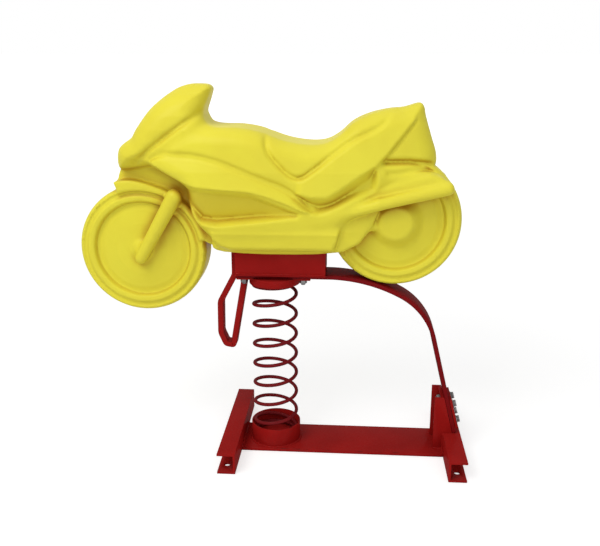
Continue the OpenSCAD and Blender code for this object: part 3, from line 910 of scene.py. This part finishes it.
@dataclass(frozen=True, kw_only=True)
class Wheel(Form):
    """A wheel with a stepped flank and a domed hub."""

    axle: Pair
    hub: float
    rise: float
    radius: float = 148.0
    half: float = 48.0
    edge: float = 1.0
    join: float = 3.0
    shoulder: float = 20.0
    shoulder_span: Pair = (96.0, 122.0)
    hub_foot: float = 5.0
    hub_top: float = 7.0
    hub_slope: float = 0.9
    insets: Points = ((0, 8), (60, 10), (92, 14), (102, 17), (108, 17), (114, 5), (124, 4),
                      (130, 9), (135, 9), (140, 2), (148, 2))

    def distance(self, x: Array, z: Array) -> Array:
        """Distance to the tyre's outline, below zero inside it."""
        return np.hypot(x - self.axle[0], z - self.axle[1]) - self.radius

    def width(self, x: Array, z: Array) -> Array:
        """Half width by distance from the axle, with the hub's dome.

        Args:
            x: places along X.
            z: heights above the belly.

        Returns:
            The half width at each place.
        """
        r = np.hypot(x - self.axle[0], z - self.axle[1])
        radii, insets = np.transpose(self.insets)
        top = self.hub - self.hub_top - self.hub_slope * self.rise
        dome = self.rise * ramp(self.hub + self.hub_foot, top, r)
        return np.interp(r, radii, self.half - insets) + dome

    def rounding(self, x: Array, z: Array) -> Array:
        """Radius of the edges, which is the tyre's shoulder outside and small inside."""
        r = self.distance(x, z) + self.radius
        return self.shoulder * ramp(*self.shoulder_span, r) + self.edge


@dataclass(frozen=True, kw_only=True)
class WheelFender(Form):
    """The front fender: an arc round the wheel, lower and thinner behind its tip."""

    axle: Pair
    half: float = 51.0
    edge: float = 7.0
    join: float = 9.0
    radius: float = 152.0
    half_thick: float = 14.0
    drop: float = 8.0
    thinner: float = 6.0
    thin_span: Pair = (108.0, 72.0)
    middle: float = 60.0
    reach: float = 50.0
    end_radius: float = 155.0

    def distance(self, x: Array, z: Array) -> Array:
        """Distance to the arc.

        Args:
            x: places along X.
            z: heights above the belly.

        Returns:
            The distances, below zero inside the arc.
        """
        dx, dz = x - self.axle[0], z - self.axle[1]
        turn = np.degrees(np.arctan2(dz, dx))
        thin = ramp(*self.thin_span, turn)
        past = (np.abs(turn - self.middle) - self.reach) * math.radians(1) * self.end_radius
        away = np.abs(np.hypot(dx, dz) - self.radius + self.drop * thin)
        return np.maximum(away - self.half_thick + self.thinner * thin, past)


@dataclass(frozen=True)
class Rod:
    """A tapered rod with round ends, and its fillet to the forms before it."""

    start: Place
    end: Place
    radii: Pair
    join: float

    def solid(self, x: Array, y: Array, z: Array) -> Array:
        """The rod as values on the grid.

        Args:
            x: places along X.
            y: places along Y.
            z: heights above the belly.

        Returns:
            The values, below zero inside.
        """
        a, b = np.array(self.start, float), np.array(self.end, float)
        e = b - a
        px, py, pz = x[:, None, None] - a[0], y[None, :, None] - a[1], z[None, None, :] - a[2]
        t = np.clip((px * e[0] + py * e[1] + pz * e[2]) / (e @ e), 0, 1)
        away = np.sqrt((px - t * e[0]) ** 2 + (py - t * e[1]) ** 2 + (pz - t * e[2]) ** 2)
        return away - (self.radii[0] + t * (self.radii[1] - self.radii[0]))


# Sub-assemblies


@dataclass
class Motorcycle:
    """The two moulded halves of the body. Sizes in millimetres, heights above the flat belly."""

    belly: float = 499.3
    step: float = 2.5
    quick_step: float = 4.0
    seam: float = 0.15
    reach_x: Pair = (-460.0, 436.0)
    reach_y: float = 116.0
    reach_z: Pair = (-158.0, 378.0)
    trunk: Trunk = Trunk()
    screen: Screen = Screen()
    pan: BellyPan = BellyPan()
    guard: FootGuard = FootGuard()
    front_wheel: Wheel = Wheel(axle=FRONT_AXLE, hub=24.0, rise=10.0)
    rear_wheel: Wheel = Wheel(axle=(276.0, 71.0), hub=60.0, rise=24.0)
    front_fender: WheelFender = WheelFender(axle=FRONT_AXLE)
    head: Form = Form(half=30.0, edge=14.0, join=10.0, outline=(
        (-352, 152), (-344, 184), (-320, 198), (-190, 210), (-150, 90), (-212, 70), (-258, 104),
        (-310, 130)))
    chin: Form = Form(half=46.0, edge=8.0, join=5.0, curved=False, outline=(
        (-174, 80), (-122, 80), (-112, 16), (-136, 9), (-153, 17)))
    tail_fender: Form = Form(half=69.0, edge=20.0, join=8.0, outline=(
        (220, 190), (256, 190), (350, 184), (372, 166), (340, 150), (280, 140), (232, 120)))
    pipe_bed: Form = Form(half=72.0, edge=9.0, join=8.0, curved=False, outline=(
        (150, 88), (238, 115), (390, 148), (388, 164), (372, 174), (345, 180), (235, 150),
        (190, 118)))
    fork: Rod = Rod((-303, -52, -20), (-218, -60, 124), (14, 18), 11)
    arm: Rod = Rod((170, -60, 52), (262, -40, 70), (13, 9), 8)
    pipe: Rod = Rod((100, -78, 76), (238, -80, 117), (12, 13), 3)
    silencer: Rod = Rod((238, -80, 117), (384, -72, 151), (13, 14), 12)
    relax_rounds: int = 6
    relax_pull: float = 0.55
    relax_push: float = -0.48
    # Painted shade: probe reaches, share and room of the occlusion estimate, then the extra painted
    # shade on the lower panel's side
    painted_shade_reaches: Sizes = (14.0, 24.0, 38.0)
    painted_shade_share: float = 0.38
    painted_shade_room: float = 0.8
    panel_shade: float = 0.25
    panel_span: Pair = (0.0, -16.0)
    panel_side: Pair = (-30.0, -50.0)
    edge_probe: float = 8.0
    edge_room: float = 5.5

    def form(self, x: Array, y: Array, z: Array) -> Array:
        """The whole moulded form as values on the grid.

        Args:
            x: places along X.
            y: places along Y.
            z: heights above the belly.

        Returns:
            The values, below zero inside.
        """
        form = self.trunk.solid(x, y, z)
        for part in (self.screen, self.head, self.pan, self.chin, self.tail_fender, self.pipe_bed,
                     self.front_wheel, self.rear_wheel, self.guard, self.front_fender, self.fork,
                     self.arm):
            form = soft_join(form, part.solid(x, y, z), part.join)
        exhaust = soft_join(
            self.pipe.solid(x, y, z), self.silencer.solid(x, y, z), self.pipe.join)
        return soft_join(form, exhaust, self.silencer.join)

    def relaxed(self, verts: Array, quads: Array) -> Array:
        """Evens out the net's small steps, keeping points on the seam at the seam.

        Args:
            verts: the net's points.
            quads: the net's faces.

        Returns:
            The moved points.
        """
        a = np.concatenate([quads[:, k] for k in range(4)])
        b = np.concatenate([quads[:, (k + 1) % 4] for k in range(4)])
        count = len(verts)
        degree = np.bincount(a, minlength=count) + np.bincount(b, minlength=count)
        tolerance = 1e-3
        seam = verts[:, 1] > -tolerance
        for turn in range(self.relax_rounds):
            mean = np.stack([np.bincount(a, verts[b, c], count) + np.bincount(b, verts[a, c], count)
                             for c in range(3)], 1)
            share = self.relax_push if turn % 2 else self.relax_pull
            moved = verts + share * (mean / degree[:, None] - verts)
            moved[seam, 1] = verts[seam, 1]
            verts = moved
        return verts

    def normals(self, verts: Array, quads: Array) -> Array:
        """Unit normals of a net's points.

        Args:
            verts: the net's points.
            quads: the net's faces.

        Returns:
            A normal for each point.
        """
        corner = verts[quads]
        flat = np.cross(corner[:, 2] - corner[:, 0], corner[:, 3] - corner[:, 1])
        normal = np.stack([sum(np.bincount(quads[:, k], flat[:, c], len(verts)) for k in range(4))
                           for c in range(3)], 1)
        return normal / (np.linalg.norm(normal, axis=1)[:, None] + 1e-9)

    def build(self) -> list[Piece]:
        """Builds both halves on a grid whose last two places along Y lie astride the seam.

        Returns:
            The left and the right half.
        """
        s = self.step
        x = np.arange(*self.reach_x, s, dtype=np.float32)
        y = np.arange(-int(self.reach_y / s), 2, dtype=np.float32) * s - s / 2
        z = np.arange(*self.reach_z, s, dtype=np.float32)
        step, start = float(x[1] - x[0]), np.array([x[0], y[0], z[0]], float)
        values = self.form(x, y, z)

        def near(places: Array) -> Array:
            """Looks up the form's values at places on either side of the seam.

            Args:
                places: the places.

            Returns:
                Values of the nearest grid points, rising with distance outside the grid.
            """
            mirrored = np.stack([places[:, 0], -np.abs(places[:, 1]), places[:, 2]], 1)
            at = np.round((mirrored - start) / step).astype(int)
            inside = np.clip(at, 0, np.array(values.shape) - 1)
            return values[tuple(inside.T)] + step * np.linalg.norm(at - inside, axis=1)

        verts, quads = net_surface(values, start, step)
        verts = self.relaxed(verts, quads)
        normal = self.normals(verts, quads)
        # Painted shade: points whose normal soon runs into the form, and the lower panel's side,
        # store a shade value that darkens the colour
        painted_shade = np.zeros(len(verts))
        for reach in self.painted_shade_reaches:
            ahead = near(verts + normal * reach)
            painted_shade += self.painted_shade_share * np.clip(1 - ahead / (reach * self.painted_shade_room), 0, 1)
        panel = area_distance(verts[:, 0], verts[:, 2], self.trunk.lower_panel)
        on_side = ramp(*self.panel_side, verts[:, 1])
        painted_shade += self.panel_shade * ramp(*self.panel_span, panel) * on_side
        edge = np.clip(1.0 + near(verts - normal * self.edge_probe) / self.edge_room, 0, 1)
        verts[:, 1] = np.minimum(verts[:, 1], -self.seam)
        halves = []
        for name, side in (("left", 1), ("right", -1)):
            points = verts * (1, side, 1) * MM + (0, 0, self.belly * MM)
            mesh = new_mesh(f"moulded_{name}_half", points, quads[:, ::side])
            store(mesh, "painted_shade", np.clip(painted_shade, 0, 1), Domain.POINT)
            obj = dressed(mesh, Slot.SHELL, edge)
            halves.append(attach(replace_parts(obj, "shell_" + name), Body.RIDER.value))
        return halves


@dataclass(frozen=True)
class Bend:
    """A length of a spring: its name, the bodies below and above it and two places in metres, of
    which only the name is read.
    """

    name: str
    low: Body
    high: Body
    start: Place
    end: Place

    def apply(self, obj: Piece, node: str) -> Piece:
        """Lets a piece stand for a node and bakes its transform into its mesh."""
        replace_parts(obj, node)
        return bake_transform(obj)


@dataclass
class Springs:
    """The coil and the leaf, which run from the base up to the rider. Sizes in millimetres."""

    coil_radius: float = 50.75
    wire: float = 8.5
    wire_sides: int = 14
    low: float = 20.8
    high: float = 417.9
    open_turns: float = 7.5
    end_pitch: float = 9.5
    turn_steps: int = 44
    ease: int = 9
    coil_cut: float = 94.0
    coil_foot: Bend = Bend("coil_wire_foot", Body.BASE, Body.SPRINGS, (0, 0, 0.032), (0, 0, 0.084))
    coil_rest: Bend = Bend("coil_wire", Body.SPRINGS, Body.RIDER, (0, 0, 0.105), (0, 0, 0.415))
    leaf_width: float = 76.0
    leaf_thick: float = 10.0
    leaf_edge: float = 2.2
    leaf_top: float = 441.0
    leaf_start: float = -86.0
    flat_end: float = 126.0
    sweep: Pair = (361.0, 28.0)
    knee: Pair = (160.0, 48.0)
    foot_z: float = 52.2
    flat_steps: int = 12
    sweep_steps: int = 24
    knee_steps: int = 30
    foot_steps: int = 27
    leaf_cut: int = 4
    leaf_sharp: float = 50.0
    leaf_foot: Bend = Bend(
        "bent_leaf_foot", Body.BASE, Body.SPRINGS, (0.4, 0, 0.135), (0.4, 0, 0.245))
    leaf_rest: Bend = Bend(
        "bent_leaf", Body.SPRINGS, Body.RIDER, (0.385, 0, 0.27), (0.26, 0, 0.41))

    def coil(self) -> list[Piece]:
        """Builds the coil with its closed end turns.

        Returns:
            Two lengths: one at the foot, one under the rider.
        """
        all_turns = self.open_turns + 2
        turns = np.linspace(0, all_turns, int(all_turns * self.turn_steps) + 1)
        height = self.high - self.low
        rise = np.interp(turns, [0, 1, all_turns - 1, all_turns],
                         [0, self.end_pitch, height - self.end_pitch, height])
        kernel = np.ones(2 * self.ease + 1) / (2 * self.ease + 1)
        soft = np.convolve(np.pad(rise, self.ease, "reflect", reflect_type="odd"), kernel, "valid")
        angle = 2 * np.pi * turns
        path = np.stack([self.coil_radius * np.cos(angle), self.coil_radius * np.sin(angle),
                         self.low + soft], 1)
        cut = int(np.argmin(np.abs(path[:, 2] - self.coil_cut)))
        pieces = []
        for bend, run in ((self.coil_foot, path[:cut + 1]), (self.coil_rest, path[cut:])):
            radii = np.full(len(run), self.wire / 2 * MM)
            verts, faces = swept_tube(run * MM, radii, self.wire_sides)
            obj = dressed(new_mesh(bend.name, verts, faces), Slot.COIL, np.zeros(len(verts)))
            pieces.append(bend.apply(obj, "coil_spring"))
        return pieces

    def leaf_line(self) -> Array:
        """Centre line of the leaf.

        Returns:
            Points in X and Z, from the front end through sweep and knee to the foot.
        """
        mid = self.leaf_top - self.leaf_thick / 2
        (sr, sa), (kr, ka) = self.sweep, self.knee
        rows = [(x, mid) for x in np.linspace(self.leaf_start, self.flat_end, self.flat_steps)[:-1]]
        rows += [(self.flat_end + sr * math.sin(a), mid - sr * (1 - math.cos(a)))
                 for a in np.radians(np.linspace(0, sa, self.sweep_steps))]
        x, z = rows[-1]
        cx, cz = x - kr * math.sin(math.radians(sa)), z - kr * math.cos(math.radians(sa))
        rows += [(cx + kr * math.sin(a), cz + kr * math.cos(a))
                 for a in np.radians(np.linspace(sa, sa + ka, self.knee_steps))[1:]]
        (x, top), lean = rows[-1], math.radians(90 - sa - ka)
        rows += [(x + (top - z) * math.tan(lean), z)
                 for z in np.linspace(top, self.foot_z, self.foot_steps)[1:]]
        return np.array(rows)

    def leaf(self) -> list[Piece]:
        """Builds the leaf with rolled edges.

        Returns:
            Two lengths: one above its foot, one that runs through the knee.
        """
        line = self.leaf_line()
        cut = len(line) - self.foot_steps + self.leaf_cut
        pieces = []
        for bend, run in ((self.leaf_foot, line[cut:]), (self.leaf_rest, line[:cut + 1])):
            verts, faces, rolled = bent_strip(
                run, self.leaf_width, self.leaf_thick, self.leaf_edge)
            mesh = new_mesh(bend.name, verts * MM, faces)
            obj = dressed(mesh, Slot.LEAF, rolled, sharp=self.leaf_sharp)
            pieces.append(bend.apply(obj, "leaf_spring"))
        return pieces

    def build(self) -> list[Piece]:
        """Builds both springs."""
        return self.coil() + self.leaf()


@dataclass
class SteelWork:
    """CAD solids with broken edges, the stop loop and the weld beads. Sizes in millimetres."""

    base_plates: Names = (
        "front_cross_channel", "rear_cross_channel", "spine_plate", "lower_spring_cup",
        "leaf_foot_bracket", "leaf_foot_clamp")
    rider_plates: Names = (
        "upper_spring_cup", "platform_channel", "platform_base_plate", "platform_front_end",
        "platform_rear_end")
    base_fasteners: Names = ("leaf_foot_bolts", "leaf_foot_washers", "leaf_foot_nuts")
    rider_fasteners: Names = (
        "leaf_bolts", "leaf_washers", "leaf_nuts", "stop_loop_bolts", "stop_loop_nuts",
        "body_bolts", "body_washers", "body_nuts", "body_insert")
    plate_edge: float = 1.1
    fastener_edge: float = 0.5
    same_point: float = 0.02
    flat_angle: float = 1.5
    sharp_angle: float = 28.0
    shade_angle: float = 30.0
    loop: Points = ((-93, 497), (-93, 432), (-129, 364), (-130, 286), (-118, 258), (-100, 255),
                    (-70, 424))
    loop_size: Sizes = (30.0, 14.0, 2.0)
    loop_bend: float = 13.0
    loop_sharp: float = 50.0
    bead_step: float = 0.8
    bead_sides: int = 8
    ripple: float = 0.10
    ripple_length: float = 3.2
    wander: float = 0.06
    wander_rate: float = 0.37
    weld_z: float = 8.4
    plate_bead: float = 2.6
    cup_radius: float = 60.6
    cup_steps: int = 97
    spine_half: float = 63.0
    spine_ends: tuple[tuple[str, float], ...] = (("front", -77.4), ("rear", 407.4))
    cheek_bead: float = 2.4
    cheek_y: float = 38.4
    cheek_line: Points = ((386, 8.4), (407, 8.4), (408.4, 12), (408.4, 48))
    platform_bead: float = 1.8
    platform_y: float = 55.2
    platform_line: Points = ((-84, 446.3), (119, 446.3))

    def softened(self, node: str, width: float, slot: Slot, body: Body) -> Piece:
        """Copies a CAD solid and rounds its edges.

        Args:
            node: the CAD node.
            width: width of the broken edge.
            slot: the material slot.
            body: the body it rides on.

        Returns:
            The piece that stands for the node.
        """
        flat, sharp = math.radians(self.flat_angle), math.radians(self.sharp_angle)
        bm = bmesh.new()
        bm.from_mesh(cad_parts[node].data)
        bmesh.ops.remove_doubles(bm, verts=bm.verts, dist=self.same_point * MM)
        bmesh.ops.dissolve_limit(bm, angle_limit=flat, verts=bm.verts, edges=bm.edges)
        edges = [e for e in bm.edges if len(e.link_faces) == 2 and e.calc_face_angle(0.0) > sharp]
        rim = bmesh.ops.bevel(bm, geom=edges, offset=width * MM, segments=2, profile=0.5,
                              affect="EDGES", clamp_overlap=True)
        bm.faces.index_update()
        worn = np.zeros(len(bm.faces))
        worn[[f.index for f in rim["faces"]]] = 1.0
        mesh = bpy.data.meshes.new(node + "_steel")
        bm.to_mesh(mesh)
        bm.free()
        obj = dressed(mesh, slot, worn, Domain.FACE, self.shade_angle)
        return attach(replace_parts(obj, node), body.value)

    def bead(self, name: str, line: list[Place], radius: float, body: Body) -> Piece:
        """Lays a weld bead with its ripples along a line.

        Args:
            name: the piece's name.
            line: the line's points.
            radius: the bead's radius.
            body: the body it rides on.

        Returns:
            The bead.
        """
        line = np.asarray(line, float)
        run = np.concatenate([[0], np.cumsum(np.linalg.norm(np.diff(line, axis=0), axis=1))])
        places = np.arange(0, run[-1], self.bead_step)
        path = np.stack([np.interp(places, run, line[:, c]) for c in range(3)], 1)
        radii = radius * (1 + self.ripple * np.sin(places * 2 * np.pi / self.ripple_length)
                          + self.wander * np.sin(places * self.wander_rate))
        verts, faces = swept_tube(path * MM, radii * MM, self.bead_sides)
        obj = dressed(new_mesh(name, verts, faces), Slot.FRAME, np.zeros(len(verts)))
        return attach(obj, body.value)

    def stop_loop(self) -> Piece:
        """Bends the strip that hangs in front of the coil.

        Returns:
            The strip.
        """
        line = cut_corners(self.loop, self.loop_bend)
        verts, faces, rolled = bent_strip(line, *self.loop_size)
        mesh = new_mesh("bent_stop_loop", verts * MM, faces)
        obj = dressed(mesh, Slot.FRAME, rolled, sharp=self.loop_sharp)
        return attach(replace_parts(obj, "stop_loop"), Body.RIDER.value)

    def welds(self) -> list[Piece]:
        """Lays the beads round the lower cup and along spine, cheeks and platform.

        Returns:
            The beads.
        """
        ring = [(self.cup_radius * math.cos(a), self.cup_radius * math.sin(a), self.weld_z)
                for a in np.linspace(0, 2 * math.pi, self.cup_steps)]
        beads = [self.bead("weld_lower_cup", ring, self.plate_bead, Body.BASE)]
        for name, x in self.spine_ends:
            line = [(x, side * self.spine_half, self.weld_z) for side in (-1, 1)]
            beads.append(self.bead("weld_spine_" + name, line, self.plate_bead, Body.BASE))
        for name, side in (("left", -1), ("right", 1)):
            cheek = [(x, side * self.cheek_y, z) for x, z in self.cheek_line]
            beads.append(self.bead("weld_cheek_" + name, cheek, self.cheek_bead, Body.BASE))
            rim = [(x, side * self.platform_y, z) for x, z in self.platform_line]
            beads.append(self.bead("weld_platform_" + name, rim, self.platform_bead, Body.RIDER))
        return beads

    def build(self) -> list[Piece]:
        """Builds the plates, the fasteners, the stop loop and the weld beads.

        Returns:
            All of these pieces.
        """
        pieces = []
        for nodes, width, slot, body in (
                (self.base_plates, self.plate_edge, Slot.FRAME, Body.BASE),
                (self.rider_plates, self.plate_edge, Slot.FRAME, Body.RIDER),
                (self.base_fasteners, self.fastener_edge, Slot.ZINC, Body.BASE),
                (self.rider_fasteners, self.fastener_edge, Slot.ZINC, Body.RIDER)):
            pieces += [self.softened(node, width, slot, body) for node in nodes]
        return pieces + [self.stop_loop()] + self.welds()


@dataclass(frozen=True)
class Lamp:
    """A soft square lamp: its place and size in metres, and its power in watts."""

    name: str
    place: Place
    size: float
    power: float


@dataclass
class Studio:
    """Camera, lamps, floor and surroundings. Sizes in metres, angles in degrees."""

    eye: Place = (0.1777, -1.6879, 0.9330)
    tilt: float = 73.6
    turn: float = 4.0
    lens: float = 45.0
    sensor: float = 36.0
    lamps: tuple[Lamp, ...] = (
        Lamp("key", (-1.2, -1.7, 2.8), 1.7, 48.0), Lamp("top", (0.3, 0.0, 2.8), 2.2, 9.0),
        Lamp("fill", (0.8, -3.0, 1.0), 2.4, 19.0))
    aim: Place = (0.0, 0.0, 0.5)
    floor_size: float = 600.0
    floor_z: float = -0.0005
    floor_pale: Colour = (0.8, 0.8, 0.8, 1.0)
    floor_seen: Colour = (0.5, 0.5, 0.5, 1.0)
    glow_span: Pair = (1.0, 5.0)
    glow_levels: Pair = (0.66, 1.0)
    white: Colour = (1.0, 1.0, 1.0, 1.0)
    world_levels: Pair = (0.42, 1.0)

    def camera(self) -> None:
        """Sets the camera at the photograph's angle."""
        data = bpy.data.cameras.new("camera")
        data.lens, data.sensor_width, data.sensor_fit = self.lens, self.sensor, "HORIZONTAL"
        obj = bpy.data.objects.new("camera", data)
        obj.location = self.eye
        obj.rotation_euler = (math.radians(self.tilt), 0.0, math.radians(self.turn))
        bpy.context.scene.collection.objects.link(obj)
        bpy.context.scene.camera = obj

    def hang(self, lamp: Lamp) -> None:
        """Hangs a lamp that faces the object.

        Args:
            lamp: the lamp.
        """
        data = bpy.data.lights.new(lamp.name, "AREA")
        data.size, data.energy = lamp.size, lamp.power
        obj = bpy.data.objects.new(lamp.name, data)
        obj.location = lamp.place
        ahead = Vector(self.aim) - Vector(lamp.place)
        obj.rotation_euler = ahead.to_track_quat("-Z", "Y").to_euler()
        bpy.context.scene.collection.objects.link(obj)

    def seen(self, graph: Graph) -> Socket:
        """Tells rays that see the background from those that only light the object.

        Args:
            graph: the graph to add nodes to.

        Returns:
            A socket with 1 for rays from the camera, mirrors and glass, else 0.
        """
        path = graph.add("LightPath").outputs
        direct = graph.math("MAXIMUM", path["Is Camera Ray"], path["Is Glossy Ray"])
        return graph.math("MAXIMUM", direct, path["Is Transmission Ray"])

    def floor(self) -> None:
        """Lays the pale floor, which keeps the object's shadow."""
        bpy.ops.mesh.primitive_plane_add(size=self.floor_size, location=(0, 0, self.floor_z))
        obj = bpy.context.object
        obj.name = "floor"
        material = bpy.data.materials.new("pale_floor")
        material.use_nodes = True
        nodes = material.node_tree.nodes
        nodes.remove(nodes["Principled BSDF"])
        graph = Graph(material.node_tree)
        place = graph.add("NewGeometry").outputs["Position"]
        far = graph.add("VectorMath", {0: place}, operation="LENGTH").outputs["Value"]
        level = graph.remap(far, self.glow_span, self.glow_levels)
        glow = graph.add("Emission", {"Color": self.white, "Strength": level})
        pale = graph.add("BsdfDiffuse", {"Color": self.floor_pale})
        shade = graph.add("BsdfDiffuse", {"Color": self.floor_seen})
        lit = graph.add("AddShader", {0: shade.outputs[0], 1: glow.outputs[0]})
        pick = graph.add(
            "MixShader", {0: self.seen(graph), 1: pale.outputs[0], 2: lit.outputs[0]})
        graph.put(pick.outputs[0], nodes["Material Output"].inputs[0])
        obj.data.materials.append(material)

    def world(self) -> None:
        """Sets white surroundings with a plain level of light."""
        world = bpy.data.worlds.new("surroundings")
        bpy.context.scene.world = world
        world.use_nodes = True
        graph = Graph(world.node_tree)
        back = world.node_tree.nodes["Background"]
        graph.put(self.white, back.inputs["Color"])
        level = graph.remap(self.seen(graph), UNIT, self.world_levels)
        graph.put(level, back.inputs["Strength"])

    def build(self) -> None:
        """Sets up the whole studio."""
        self.camera()
        for lamp in self.lamps:
            self.hang(lamp)
        self.floor()
        self.world()
        bpy.context.scene.view_settings.view_transform = "Standard"


def main() -> None:
    """Builds every sub-assembly and reports its pieces."""
    logging.basicConfig(level=logging.INFO, format="%(message)s")
    Studio().build()
    for assembly in (Motorcycle(), Springs(), SteelWork()):
        name = type(assembly).__name__
        for piece in assembly.build():
            LOG.info("%s: %s, %d faces", name, piece.name, len(piece.data.polygons))


if __name__ == "__main__":
    main()
